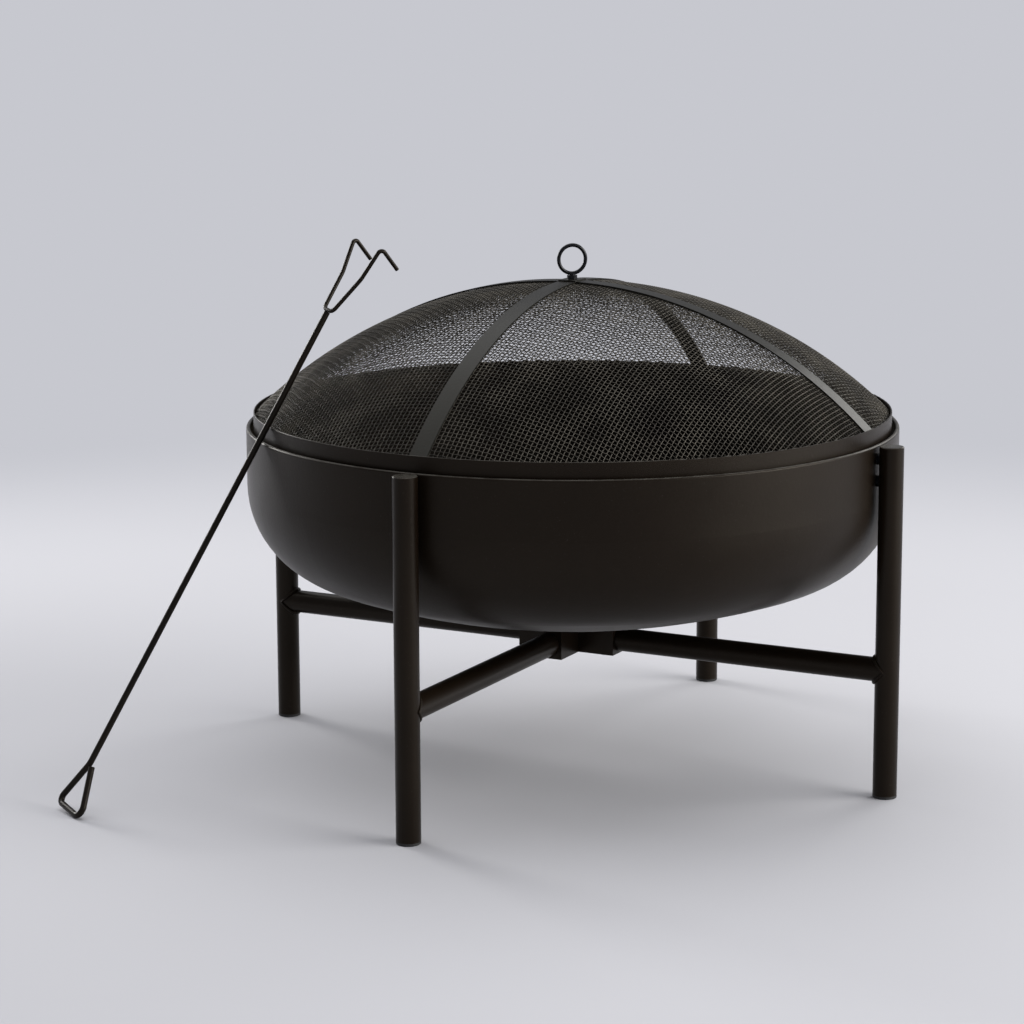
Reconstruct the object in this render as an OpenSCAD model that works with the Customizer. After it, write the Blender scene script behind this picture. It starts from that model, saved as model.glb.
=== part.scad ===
// Round fire pit on four tube legs, with a domed mesh spark screen, a log grate and a poker.
// Millimetres, +Z up. The origin is on the floor, on the axis of the fire bowl.
// The legs stand at 45 degrees to X and Y, and the poker leans towards +X.

/* [Fire bowl] */
// Outside diameter of the bowl
bowl_d = 700; // [560:5:900]
// Height of the rim above the floor
rim_z = 372; // [330:1:480]
// Depth of the bowl outside, from the rim to the lowest point
bowl_depth = 211; // [180:1:215]
// Radius of the rounded corner between the wall and the crowned bottom
corner_r = 105; // [60:1:130]
// Radius of the crowned bottom
crown_r = 814; // [650:1:1400]
// Thickness of the spun sheet
bowl_t = 2; // [1.2:0.1:3]
// Diameter of the rolled hem along the rim
hem_d = 4.5; // [4:0.1:5]

/* [Legs] */
// Outside diameter of the leg and arm tube
tube_d = 25.4; // [19:0.1:32]
// Wall of the leg and arm tube
tube_t = 1.5; // [1:0.1:2.5]
// Gap between the bowl wall and a leg, filled by the spacers
leg_gap = 2.3; // [1.5:0.1:6]
// Thickness of the cap welded on each leg
cap_t = 2.5; // [1.5:0.1:5]
// Chamfer round the edge of a cap
cap_chamfer = 0.8; // [0.3:0.1:1.2]
// Height of the part of a foot glide that shows under the tube
glide_h = 3; // [2:0.5:8]
// Length of the part of a foot glide inside the tube
glide_plug = 12; // [6:1:25]
// Rounding of the edge of a foot glide
glide_round = 1; // [0.4:0.1:1.8]

/* [Cross arms and hub] */
// Height of the centre line of the arms
arm_z = 136; // [100:1:140]
// Size of the square section of the hub socket
hub_w = 31; // [30:0.5:34]
// Reach of the hub socket from the axis to each open end
hub_reach = 57; // [48:1:90]
// Gap between the inner end of an arm and the arm that crosses it
arm_end_gap = 1.3; // [0.5:0.1:6]
// Radial clearance of an arm in the hub socket
arm_fit = 0.15; // [0.05:0.05:0.3]
// Size of the weld fillet between an arm and its leg
weld_w = 4; // [2:0.1:5]
// Distance of the hub screws from the axis
hub_screw_r = 40; // [30:1:44]

/* [Leg fasteners] */
// Diameter of the screw thread
screw_d = 6; // [5:0.5:8]
// Diameter of the screw head
head_d = 10.5; // [9.5:0.1:13]
// Diameter of the top of the screw head
head_top_d = 8.5; // [7.5:0.1:9]
// Height of the screw head
head_h = 3.3; // [2.5:0.1:4]
// Size across the flats of the hexagon socket in the head
hex_socket = 4; // [3:0.5:5]
// Depth of the hexagon socket
hex_depth = 2; // [1:0.1:2.2]
// Radial clearance of a screw in its hole
screw_fit = 0.25; // [0.1:0.05:0.5]
// Depth of the upper screw below the rim
upper_screw_drop = 14; // [13:0.5:18]
// Distance between the two screws of a leg
screw_pitch = 23; // [16:1:40]
// Outside diameter of a spacer between the bowl and a leg
spacer_d = 12; // [10:0.5:15]
// Outside diameter of a threaded insert
insert_d = 9; // [8.5:0.1:11]
// Length of a threaded insert
insert_len = 11.5; // [8:0.5:14]
// Depth of the face of an insert below the surface of its tube
insert_sink = 1; // [0.9:0.1:2]
// Length of screw inside the tube
thread_len = 9; // [6:0.5:10]

/* [Screen rests] */
// Width of a screen rest along the wall of the bowl
rest_w = 26; // [20:1:40]
// Thickness of a screen rest
rest_t = 2; // [1.5:0.1:2.5]
// Depth of the shelf of a rest, from the wall inwards
rest_shelf = 14; // [12:0.5:22]
// Height of the plate of a rest below its shelf
rest_h = 40; // [36:1:60]

/* [Spark screen] */
// Gap between the hem and the band of the screen
band_gap = 3.5; // [3.5:0.1:6]
// Height of the band above the rim
band_proud = 16; // [12:0.5:24]
// Thickness of the band
band_t = 1.5; // [1:0.1:2.5]
// Radius of the dome of mesh, outside
dome_r = 487; // [420:1:700]
// Depth of the mesh below the top edge of the band, where it meets the band
mesh_tuck = 4.7; // [3:0.1:8]
// Diameter of the wire of the mesh
mesh_wire_d = 0.9; // [0.6:0.1:1.2]
// Number of windows across the dome, in the plain grid that stands for the weave
mesh_windows = 12; // [6:2:12]
// Width of the ribs between those windows
mesh_rib = 10; // [6:0.5:16]
// Width of the closed margin along the edge of the dome
mesh_margin = 10; // [6:0.5:20]
// Thickness of the ring that holds the mesh in the band
retainer_t = 1.5; // [1:0.1:2.5]
// Height of the mesh skirt that the ring leaves free at its top
retainer_gap = 1; // [0.5:0.1:4]
// Height of the band below the mesh skirt
skirt_lift = 1.5; // [1:0.1:4]
// Width of the straps over the dome
strap_w = 20; // [14:0.5:30]
// Thickness of the straps
strap_t = 1.5; // [1:0.1:2.5]
// Length of the flat where the upper strap steps over the lower one, from the axis
strap_step = 13; // [12:0.5:24]

/* [Ring handle] */
// Outside diameter of the ring
ring_d = 34; // [28:0.5:50]
// Diameter of the wire of the ring and of its stud
ring_wire_d = 4; // [3:0.1:6]
// Diameter of the stud under the ring
stud_d = 6; // [5:0.5:7]
// Height of the collar nut under the ring
collar_h = 4; // [3:0.1:8]
// Diameter of the collar nut
collar_d = 11; // [9:0.1:16]
// Diameter of the washer under the mesh
washer_d = 20; // [14:0.5:30]
// Thickness of the washer under the mesh
washer_t = 1.5; // [1:0.1:3]
// Size across the flats of the lock nut
nut_af = 10; // [9:0.1:13]
// Height of the lock nut
nut_h = 5; // [4:0.1:8]
// Length of the stud below the lock nut
stud_tail = 2; // [1:0.1:8]

/* [Log grate] */
// Diameter of the grate over its ring
grate_d = 430; // [320:5:460]
// Height of the top of the grate above the floor
grate_z = 245; // [230:1:280]
// Diameter of the bars and of the ring
bar_d = 8; // [6:0.5:12]
// Distance between the bars
bar_pitch = 45; // [30:1:60]
// Diameter of the cross bars and feet
cross_bar_d = 10; // [8:0.5:14]
// Distance of the cross bars and feet from the axis, along X and along Y
grate_foot_xy = 134; // [90:1:140]

/* [Poker] */
// Diameter of the poker rod
poker_d = 6.5; // [5:0.1:9]
// Length of the rod from its loop to the fork
poker_len = 577; // [500:1:800]
// Lean of the rod above the floor
poker_lean = 59.9; // [56:0.1:64]
// Turn of the leaning rod, seen from above, away from +X
poker_turn = 3.8; // [0:0.1:8]
// Turn of the whole poker about its rod, so that it stands on the front corner of its loop
poker_roll = 12; // [0:1:20]
// Distance from the XZ plane, towards the front, of the place where the rod lies on the band
poker_side = 33.5; // [0:0.5:80]
// Reach of the handle loop to the front of the rod
loop_front = 35.4; // [30:0.1:50]
// Reach of the handle loop to the back of the rod
loop_back = 21.6; // [18:0.1:30]
// Length of the handle loop
loop_len = 51; // [44:1:80]
// Height of the end of the wire above the foot of the loop
loop_close = 49; // [44:1:60]
// Gap between the end of the wire and the rod
wire_end_gap = 0.25; // [0.1:0.05:1]
// Bend radius of the front corner of the loop
front_bend_r = 8; // [6:0.5:11]
// Bend radius of the back corner of the loop
back_bend_r = 6.6; // [6:0.1:9]
// Bend radius where the loop leaves the rod
neck_bend_r = 14; // [10:1:24]
// Diameter of the wire of the fork
prong_d = 4.3; // [3.5:0.1:5]
// Length of the fork
fork_len = 81; // [60:1:110]
// Half width of the round foot of the fork
fork_foot = 9; // [8:0.1:12]
// Height of the bow of the prongs above the foot of the fork
bow_z = 43; // [30:1:52]
// Half width of the fork at the bow
bow_half_w = 19.6; // [16:0.1:26]
// How far the prongs stand out of the plane of the fork at the bow
bow_out = 6; // [0:0.1:8]
// Half width of the fork at its tips
fork_half_w = 28.5; // [24:0.1:40]
// How far the tips stand out of the plane of the fork
tip_out = 4.7; // [0:0.1:8]
// Length of the hooks at the tips
hook_len = 31; // [18:1:45]
// Slope of the hooks back towards the handle
hook_slope = 21; // [0:1:30]
// Bend radius at the foot of the fork
foot_bend_r = 7; // [5:0.1:8]
// Bend radius of the bow of a prong
bow_bend_r = 40; // [20:1:60]
// Bend radius at the tip of a prong
tip_bend_r = 4.3; // [3:0.1:5]

/* [Clearances] */
// Gap between two parts that rest on each other and lift apart
rest_gap = 0.3; // [0.1:0.05:0.6]
// Gap between fixed parts that lie on each other
touch_gap = 0.05; // [0.02:0.01:0.1]

/* [Hidden] */
$fn = 96;
// Facets of a round cut that leaves only a thin piece
FINE = 480;
// How far a cut runs past the face that it starts from
CUT = 1;

// Directions of the four legs, seen from above
FRONT_LEFT = -135;
FRONT_RIGHT = -45;
BACK_RIGHT = 45;
BACK_LEFT = 135;
LEG_TURNS = [FRONT_LEFT, FRONT_RIGHT, BACK_RIGHT, BACK_LEFT];

// Bowl
bowl_r = bowl_d / 2;
hem_r = hem_d / 2;
bowl_low = rim_z - bowl_depth;
crown_z = bowl_low + crown_r;
// Height at which the wall starts to round in: the corner arc touches the crown arc from inside
knuckle_z = crown_z - sqrt(pow(crown_r - corner_r, 2) - pow(bowl_r - corner_r, 2));

// Legs and fasteners
tube_r = tube_d / 2;
bore_r = tube_r - tube_t;
leg_r = bowl_r + leg_gap + tube_r;
leg_low = glide_h;
leg_top = rim_z - cap_t;
screw_zs = [rim_z - upper_screw_drop, rim_z - upper_screw_drop - screw_pitch];
screw_hole_d = screw_d + 2 * screw_fit;

// The heads of the leg screws bear on the curved plate of a rest at their edges
rest_in = bowl_r - bowl_t - touch_gap - rest_t;
head_seat = sqrt(pow(rest_in, 2) - pow(head_d / 2, 2)) - touch_gap;

// Hub
arm_inner = tube_r + arm_end_gap;
hub_low = arm_z - hub_w / 2;

// Screen and its rests
rest_top = rim_z - hem_d - rest_gap;
rest_r = bowl_r - bowl_t;
band_r = bowl_r - hem_d - band_gap;
band_in = band_r - band_t;
band_low = rest_top + rest_gap;
band_top = rim_z + band_proud;
mesh_t = 2 * mesh_wire_d;
mesh_r = band_in - touch_gap;
mesh_meet_z = band_top - mesh_tuck;
dome_z = mesh_meet_z - sqrt(pow(dome_r, 2) - pow(mesh_r, 2));
skirt_low = band_low + skirt_lift;
strap_r = dome_r + touch_gap;
strap_over_r = strap_r + strap_t + touch_gap;

// Ring handle
collar_low = dome_z + strap_over_r + strap_t + touch_gap;
ring_r = (ring_d - ring_wire_d) / 2;
ring_z = collar_low + collar_h + ring_d / 2;
washer_top = dome_z + dome_r - mesh_t - 2 * touch_gap;
nut_top = washer_top - washer_t - touch_gap;
stud_low = nut_top - nut_h - stud_tail;

// Log grate
bar_z = grate_z - bar_d / 2;
grate_ring_r = (grate_d - bar_d) / 2;
cross_bar_z = bar_z - bar_d / 2 - cross_bar_d / 2 - touch_gap;
bar_count_half = floor((grate_ring_r - 2 * bar_d) / bar_pitch);

// Poker: the rod lies on the top edge of the band, and the front corner of its loop stands on the floor
poker_r = poker_d / 2;
bend_bulge = 0.03;
bend_lap = 0.3;
edge_r = band_t / 2;
rod_way = [cos(poker_turn) * cos(poker_lean), sin(poker_turn) * cos(poker_lean), sin(poker_lean)];
rod_up = [-cos(poker_turn) * sin(poker_lean), -sin(poker_turn) * sin(poker_lean), cos(poker_lean)];
band_edge = [-sqrt(pow(band_r - edge_r, 2) - pow(poker_side, 2)), -poker_side, band_top - edge_r];
rod_rest = band_edge + rod_up * (poker_r + edge_r + rest_gap);
wire_end = [0, -poker_d - wire_end_gap, loop_close];
// The centre of the bend of the front corner, and how steeply the plane of the loop falls to the floor
front_half = atan2(wire_end[2], wire_end[1] + loop_front) / 2;
front_centre = [0, front_bend_r / tan(front_half) - loop_front, front_bend_r];
roll_fall = cos(poker_lean) * sin(poker_roll);
loop_fall = norm([roll_fall, sin(poker_lean)]);
foot_z = poker_r + bend_bulge + front_bend_r * loop_fall
    - roll_fall * front_centre[1] - sin(poker_lean) * front_centre[2];
poker_foot = rod_rest - rod_way * (rod_rest[2] - foot_z) / rod_way[2];

function unit(v) = v / norm(v);

// Puts its children at each of the four legs, with X pointing out from the axis
module at_legs() {
    for (turn = LEG_TURNS) rotate([0, 0, turn]) children();
}

// A round bar from a to b
module bar(a, b, d) {
    run = b - a;
    translate(a)
        rotate([0, acos(run[2] / norm(run)), atan2(run[1], run[0])])
            cylinder(d = d, h = norm(run));
}

// A part of a ring that joins two straights meeting at corner b. It is a hair thicker than they are,
// as a rod bulges where it is bent
module bend(a, b, c, r, d) {
    back = unit(a - b);
    on = unit(c - b);
    half = acos(back * on) / 2;
    centre = b + unit(back + on) * r / sin(half);
    x = unit(b + back * r / tan(half) - centre);
    z = unit(cross(-back, on));
    y = cross(z, x);
    multmatrix([
        [x[0], y[0], z[0], centre[0]],
        [x[1], y[1], z[1], centre[1]],
        [x[2], y[2], z[2], centre[2]]
    ])
        rotate_extrude(angle = 180 - 2 * half)
            translate([r, 0])
                circle(d = d + 2 * bend_bulge);
}

// How far the tangent point of bend i lies from its corner, and 0 at the two ends
function setback(p, r, i) =
    i == 0 || i == len(p) - 1
        ? 0
        : r[i] / tan(acos(unit(p[i - 1] - p[i]) * unit(p[i + 1] - p[i])) / 2);

// A rod bent at each inner point of a path, to the radius listed for that point
module bent_rod(p, r, d) {
    for (i = [0 : len(p) - 2]) {
        way = unit(p[i + 1] - p[i]);
        // Each straight runs a little way into the bends at its ends
        from = max(0, setback(p, r, i) - bend_lap);
        to = max(0, setback(p, r, i + 1) - bend_lap);
        bar(p[i] + way * from, p[i + 1] - way * to, d);
    }
    for (i = [1 : len(p) - 2]) bend(p[i - 1], p[i], p[i + 1], r[i], d);
}

// A cap screw along +X, with the underside of its head at the origin
module cap_screw(len) {
    rotate([0, 90, 0]) cylinder(d = screw_d, h = len);
    difference() {
        rotate([0, -90, 0]) cylinder(d1 = head_d, d2 = head_top_d, h = head_h);
        translate([-head_h + hex_depth, 0, 0])
            rotate([0, -90, 0])
                cylinder(d = hex_socket / cos(30), h = hex_depth + CUT, $fn = 6);
    }
}

// A threaded insert along +X from the origin
module insert() {
    rotate([0, 90, 0])
        difference() {
            cylinder(d = insert_d, h = insert_len);
            translate([0, 0, -CUT]) cylinder(d = screw_d + 2 * touch_gap, h = insert_len + 2 * CUT);
        }
}

// Half section of the space inside the bowl's skin, moved in by inset
module bowl_section(inset, top) {
    reach = crown_r * 1.5;
    steep = atan2(bowl_r - corner_r, crown_z - knuckle_z);
    translate([0, knuckle_z]) square([bowl_r - inset, top - knuckle_z]);
    intersection() {
        translate([bowl_r - corner_r, knuckle_z]) circle(corner_r - inset);
        translate([0, bowl_low]) square([bowl_r, knuckle_z - bowl_low]);
    }
    intersection() {
        translate([0, crown_z]) circle(crown_r - inset);
        polygon([[0, crown_z], [0, crown_z - reach],
                 [reach * sin(steep), crown_z - reach * cos(steep)]]);
        translate([0, bowl_low - CUT]) square([bowl_r, knuckle_z - bowl_low + CUT]);
    }
}

module bowl() {
    color("#2a2926")
        difference() {
            rotate_extrude() {
                difference() {
                    bowl_section(0, rim_z - hem_r);
                    bowl_section(bowl_t, rim_z);
                }
                translate([bowl_r - hem_r, rim_z - hem_r]) circle(hem_r);
            }
            at_legs()
                for (z = screw_zs)
                    translate([bowl_r - 2 * bowl_t, 0, z])
                        rotate([0, 90, 0])
                            cylinder(d = screw_hole_d, h = 3 * bowl_t);
        }
}

module leg(turn) {
    color("#2d2b28")
        rotate([0, 0, turn])
            translate([leg_r, 0, 0])
                difference() {
                    translate([0, 0, leg_low]) cylinder(r = tube_r, h = leg_top - leg_low);
                    translate([0, 0, leg_low - CUT]) cylinder(r = bore_r, h = leg_top - leg_low + 2 * CUT);
                    for (z = screw_zs)
                        translate([-tube_r - CUT, 0, z])
                            rotate([0, 90, 0])
                                cylinder(d = insert_d + 2 * touch_gap, h = tube_r);
                }
}

module leg_caps() {
    color("#2d2b28")
        at_legs()
            translate([leg_r, 0, leg_top]) {
                cylinder(r = tube_r, h = cap_t - cap_chamfer);
                translate([0, 0, cap_t - cap_chamfer])
                    cylinder(r1 = tube_r, r2 = tube_r - cap_chamfer, h = cap_chamfer);
            }
}

module foot_glides() {
    color("#1a1a1a")
        at_legs()
            translate([leg_r, 0, 0]) {
                rotate_extrude() {
                    square([tube_r - glide_round, glide_h]);
                    translate([0, glide_round]) square([tube_r, glide_h - glide_round]);
                    translate([tube_r - glide_round, glide_round]) circle(glide_round);
                }
                translate([0, 0, glide_h])
                    cylinder(r = bore_r - touch_gap, h = glide_plug);
            }
}

module arm(turn) {
    color("#2d2b28")
        rotate([0, 0, turn])
            difference() {
                translate([arm_inner, 0, arm_z])
                    rotate([0, 90, 0])
                        cylinder(r = tube_r, h = leg_r - arm_inner);
                translate([arm_inner - CUT, 0, arm_z])
                    rotate([0, 90, 0])
                        cylinder(r = bore_r, h = leg_r);
                translate([leg_r, 0, arm_z - tube_d])
                    cylinder(r = tube_r + touch_gap, h = 2 * tube_d);
                translate([hub_screw_r, 0, arm_z - tube_d])
                    cylinder(d = insert_d + 2 * touch_gap, h = tube_d);
            }
}

// The fillets between each arm and its leg, above and below the arm, where the two tubes meet in a corner
module arm_welds() {
    reach = tube_r + weld_w;
    color("#2d2b28")
        at_legs()
            for (side = [-1, 1])
                translate([leg_r, 0, arm_z])
                    scale([1, 1, side])
                        difference() {
                            intersection() {
                                cylinder(r = reach, h = reach, $fn = FINE);
                                rotate([0, -90, 0]) cylinder(r = reach, h = reach, $fn = FINE);
                                // The face of the fillet is an oblique round, which follows the seam
                                rotate([0, 45, 0])
                                    translate([0, 0, -weld_w])
                                        linear_extrude(height = 2 * weld_w)
                                            scale([sqrt(2) * (tube_r + weld_w / 2), tube_r + weld_w / 2])
                                                circle(r = 1, $fn = FINE);
                                translate([-reach, -reach, weld_w])
                                    cube([reach, 2 * reach, reach]);
                            }
                            translate([0, 0, -CUT])
                                cylinder(r = tube_r + touch_gap, h = reach + 2 * CUT, $fn = FINE);
                            rotate([0, -90, 0])
                                translate([0, 0, -CUT])
                                    cylinder(r = tube_r + touch_gap, h = reach + 2 * CUT, $fn = FINE);
                        }
}

module hub_socket() {
    color("#262523")
        translate([0, 0, arm_z])
            rotate([0, 0, BACK_RIGHT])
                difference() {
                    union() {
                        cube([2 * hub_reach, hub_w, hub_w], center = true);
                        cube([hub_w, 2 * hub_reach, hub_w], center = true);
                    }
                    for (turn = [0, 90])
                        rotate([0, 0, turn])
                            translate([-hub_reach - CUT, 0, 0])
                                rotate([0, 90, 0])
                                    cylinder(r = tube_r + arm_fit, h = 2 * (hub_reach + CUT));
                    for (turn = [0 : 90 : 270])
                        rotate([0, 0, turn])
                            translate([hub_screw_r, 0, -hub_w])
                                cylinder(d = screw_hole_d, h = hub_w);
                }
}

module hub_screws() {
    color("silver")
        at_legs()
            translate([hub_screw_r, 0, hub_low - touch_gap])
                rotate([0, -90, 0])
                    cap_screw(thread_len + (hub_w - tube_d) / 2);
}

module hub_inserts() {
    color("silver")
        at_legs()
            translate([hub_screw_r, 0, arm_z - tube_r + insert_sink])
                rotate([0, -90, 0])
                    insert();
}

module leg_spacers() {
    color("silver")
        at_legs()
            for (z = screw_zs)
                difference() {
                    translate([bowl_r - CUT, 0, z])
                        rotate([0, 90, 0])
                            cylinder(d = spacer_d, h = leg_gap + tube_r);
                    translate([0, 0, z - spacer_d])
                        cylinder(r = bowl_r + touch_gap, h = 2 * spacer_d, $fn = FINE);
                    translate([leg_r, 0, z - spacer_d])
                        cylinder(r = tube_r + touch_gap, h = 2 * spacer_d);
                    translate([bowl_r - 2 * CUT, 0, z])
                        rotate([0, 90, 0])
                            cylinder(d = screw_hole_d, h = leg_gap + tube_r);
                    translate([leg_r, -spacer_d, z - spacer_d])
                        cube([tube_d, 2 * spacer_d, 2 * spacer_d]);
                }
}

module leg_screws() {
    color("#1d1d1d")
        at_legs()
            for (z = screw_zs)
                translate([head_seat, 0, z])
                    cap_screw(leg_r - tube_r + thread_len - head_seat);
}

module leg_inserts() {
    color("silver")
        at_legs()
            for (z = screw_zs) translate([leg_r - tube_r + insert_sink, 0, z]) insert();
}

module screen_rests() {
    span = 2 * asin(rest_w / 2 / rest_r);
    color("#262523")
        at_legs()
            difference() {
                rotate([0, 0, -span / 2])
                    rotate_extrude(angle = span) {
                        translate([rest_in, rest_top - rest_h])
                            square([rest_t, rest_h]);
                        translate([rest_r - rest_shelf, rest_top - rest_t])
                            square([rest_shelf - touch_gap, rest_t]);
                    }
                for (z = screw_zs)
                    translate([rest_r - 2 * rest_t, 0, z])
                        rotate([0, 90, 0])
                            cylinder(d = screw_hole_d, h = 3 * rest_t);
            }
}

module screen_band() {
    color("#2a2926")
        rotate_extrude() {
            translate([band_in, band_low]) square([band_t, band_top - edge_r - band_low]);
            translate([band_in + edge_r, band_top - edge_r]) circle(edge_r);
        }
}

module mesh_retainer() {
    ring_out = mesh_r - mesh_t - touch_gap;
    color("#2a2926")
        rotate_extrude()
            translate([ring_out - retainer_t, skirt_low])
                square([retainer_t, mesh_meet_z - mesh_t - retainer_gap - skirt_low]);
}

// The windows of the dome, as upright prisms in a square grid between the centre and the margin
module mesh_grid() {
    grid_r = mesh_r - mesh_t - mesh_margin;
    pitch = 2 * grid_r / mesh_windows;
    last = mesh_windows / 2 - 0.5;
    window = pitch - mesh_rib;
    intersection() {
        difference() {
            cylinder(r = grid_r, h = 2 * dome_r);
            translate([0, 0, -CUT]) cylinder(r = washer_d / 2 + mesh_rib / 2, h = 2 * dome_r + 2 * CUT);
        }
        for (i = [-last : last], j = [-last : last])
            if (norm([abs(i) - 0.5, abs(j) - 0.5]) * pitch + mesh_rib < grid_r)
                translate([i * pitch - window / 2, j * pitch - window / 2, 0])
                    cube([window, window, 2 * dome_r]);
    }
}

module spark_mesh() {
    color("#3a3a38")
        difference() {
            rotate_extrude() {
                difference() {
                    intersection() {
                        translate([0, dome_z]) circle(dome_r);
                        translate([0, mesh_meet_z - mesh_t]) square([mesh_r, dome_r]);
                    }
                    translate([0, dome_z]) circle(dome_r - mesh_t);
                }
                translate([mesh_r - mesh_t, skirt_low]) square([mesh_t, mesh_meet_z - skirt_low]);
            }
            translate([0, 0, dome_z]) cylinder(d = screw_hole_d, h = 2 * dome_r);
            rotate([0, 0, BACK_RIGHT]) mesh_grid();
        }
}

// A strip of the sphere of radius r, strap_w wide and strap_t thick, between two distances from the axis
module strip(r, thick, near, far) {
    translate([0, 0, dome_z])
        intersection() {
            difference() {
                sphere(r + thick);
                sphere(r);
            }
            translate([near, -strap_w / 2, 0]) cube([far - near, strap_w, dome_r * 2]);
        }
}

module strap_lower() {
    color("#4a4840")
        rotate([0, 0, BACK_LEFT])
            difference() {
                intersection() {
                    strip(strap_r, strap_t, -bowl_r, bowl_r);
                    cylinder(r = mesh_r, h = 2 * dome_r);
                }
                cylinder(d = screw_hole_d, h = 2 * dome_r);
            }
}

module strap_upper() {
    color("#4a4840")
        rotate([0, 0, BACK_RIGHT])
            difference() {
                union() {
                    for (turn = [0, 180])
                        rotate([0, 0, turn]) {
                            intersection() {
                                strip(strap_r, strap_t, strap_step, bowl_r);
                                cylinder(r = mesh_r, h = 2 * dome_r);
                            }
                            strip(strap_r, strap_over_r - strap_r + strap_t,
                                  strap_step - strap_t, strap_step);
                        }
                    strip(strap_over_r, strap_t, -strap_step, strap_step);
                }
                cylinder(d = screw_hole_d, h = 2 * dome_r);
            }
}

module ring_handle() {
    color("#222222") {
        translate([0, 0, ring_z])
            rotate([90, 0, 0])
                rotate_extrude()
                    translate([ring_r, 0])
                        circle(d = ring_wire_d);
        translate([0, 0, stud_low])
            cylinder(d = stud_d, h = collar_low + collar_h + ring_wire_d / 2 - stud_low);
    }
}

module collar_nut() {
    color("#222222")
        translate([0, 0, collar_low])
            difference() {
                cylinder(d = collar_d, h = collar_h);
                translate([0, 0, -CUT]) cylinder(d = stud_d + 2 * touch_gap, h = collar_h + 2 * CUT);
            }
}

module under_washer() {
    color("silver")
        translate([0, 0, washer_top - washer_t])
            difference() {
                cylinder(d = washer_d, h = washer_t);
                translate([0, 0, -CUT]) cylinder(d = screw_hole_d, h = washer_t + 2 * CUT);
            }
}

module lock_nut() {
    color("silver")
        translate([0, 0, nut_top - nut_h])
            difference() {
                cylinder(d = nut_af / cos(30), h = nut_h, $fn = 6);
                translate([0, 0, -CUT]) cylinder(d = stud_d + 2 * touch_gap, h = nut_h + 2 * CUT);
            }
}

module grate_ring() {
    color("#33302c")
        translate([0, 0, bar_z])
            rotate_extrude()
                translate([grate_ring_r, 0])
                    circle(d = bar_d);
}

module grate_bars() {
    color("#33302c")
        for (i = [-bar_count_half : bar_count_half]) {
            x = i * bar_pitch;
            half = sqrt(pow(grate_ring_r - bar_d / 2 - touch_gap, 2) - pow(abs(x) + bar_d / 2, 2));
            bar([x, -half, bar_z], [x, half, bar_z], bar_d);
        }
}

module grate_cross_bars() {
    half = sqrt(pow(grate_ring_r, 2) - pow(grate_foot_xy, 2));
    color("#33302c")
        for (y = [-grate_foot_xy, grate_foot_xy])
            bar([-half, y, cross_bar_z], [half, y, cross_bar_z], cross_bar_d);
}

module grate_feet() {
    color("#33302c")
        for (x = [-grate_foot_xy, grate_foot_xy], y = [-grate_foot_xy, grate_foot_xy])
            intersection() {
                difference() {
                    translate([x, y, bowl_low]) cylinder(d = cross_bar_d, h = cross_bar_z - bowl_low);
                    translate([x - cross_bar_d, y, cross_bar_z])
                        rotate([0, 90, 0])
                            cylinder(d = cross_bar_d + 2 * touch_gap, h = 2 * cross_bar_d);
                }
                translate([0, 0, crown_z]) sphere(crown_r - bowl_t - rest_gap);
            }
}

// The frame of the poker: its rod runs along +Z from the foot of its loop, and its loop spreads along Y
module poker_frame() {
    translate(poker_foot)
        rotate([0, 90 - poker_lean, poker_turn])
            rotate([0, 0, poker_roll])
                children();
}

module poker_rod() {
    path = [
        wire_end,
        [0, -loop_front, 0],
        [0, loop_back, 0],
        [0, 0, loop_len],
        [0, 0, poker_len]
    ];
    color("#202020")
        poker_frame()
            bent_rod(path, [0, front_bend_r, back_bend_r, neck_bend_r, 0], poker_d);
}

// One wire, bent to two prongs with hooked tips, that lies across the end of the rod
module poker_fork() {
    hook = [hook_len * cos(hook_slope), 0, -hook_len * sin(hook_slope)];
    back_tip = [tip_out, fork_half_w, fork_len];
    front_tip = [tip_out, -fork_half_w, fork_len];
    path = [
        back_tip + hook,
        back_tip,
        [bow_out, bow_half_w, bow_z],
        [0, fork_foot, 0],
        [0, -fork_foot, 0],
        [bow_out, -bow_half_w, bow_z],
        front_tip,
        front_tip + hook
    ];
    radii = [0, tip_bend_r, bow_bend_r, foot_bend_r, foot_bend_r, bow_bend_r, tip_bend_r, 0];
    color("#202020")
        poker_frame()
            translate([0, 0, poker_len + prong_d / 2 + touch_gap])
                bent_rod(path, radii, prong_d);
}

bowl();
leg(FRONT_LEFT);  // leg_front_left
leg(FRONT_RIGHT);  // leg_front_right
leg(BACK_RIGHT);  // leg_back_right
leg(BACK_LEFT);  // leg_back_left
leg_caps();
foot_glides();
arm(FRONT_LEFT);  // arm_front_left
arm(FRONT_RIGHT);  // arm_front_right
arm(BACK_RIGHT);  // arm_back_right
arm(BACK_LEFT);  // arm_back_left
arm_welds();
hub_socket();
hub_screws();
hub_inserts();
leg_spacers();
leg_screws();
leg_inserts();
screen_rests();
screen_band();
mesh_retainer();
spark_mesh();
strap_lower();
strap_upper();
ring_handle();
collar_nut();
under_washer();
lock_nut();
grate_ring();
grate_bars();
grate_cross_bars();
grate_feet();
poker_rod();
poker_fork();
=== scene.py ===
"""Looks of a round fire pit.

A fire bowl on tube legs carries a mesh spark screen with a ring handle. A log grate stands in the
bowl, and a poker leans on its rim.
"""

from __future__ import annotations

import logging
import math
from abc import ABC, abstractmethod
from dataclasses import dataclass
from enum import Enum
from typing import Any, Sequence

import bmesh
import bpy
from mathutils import Euler, Matrix, Vector

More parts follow.
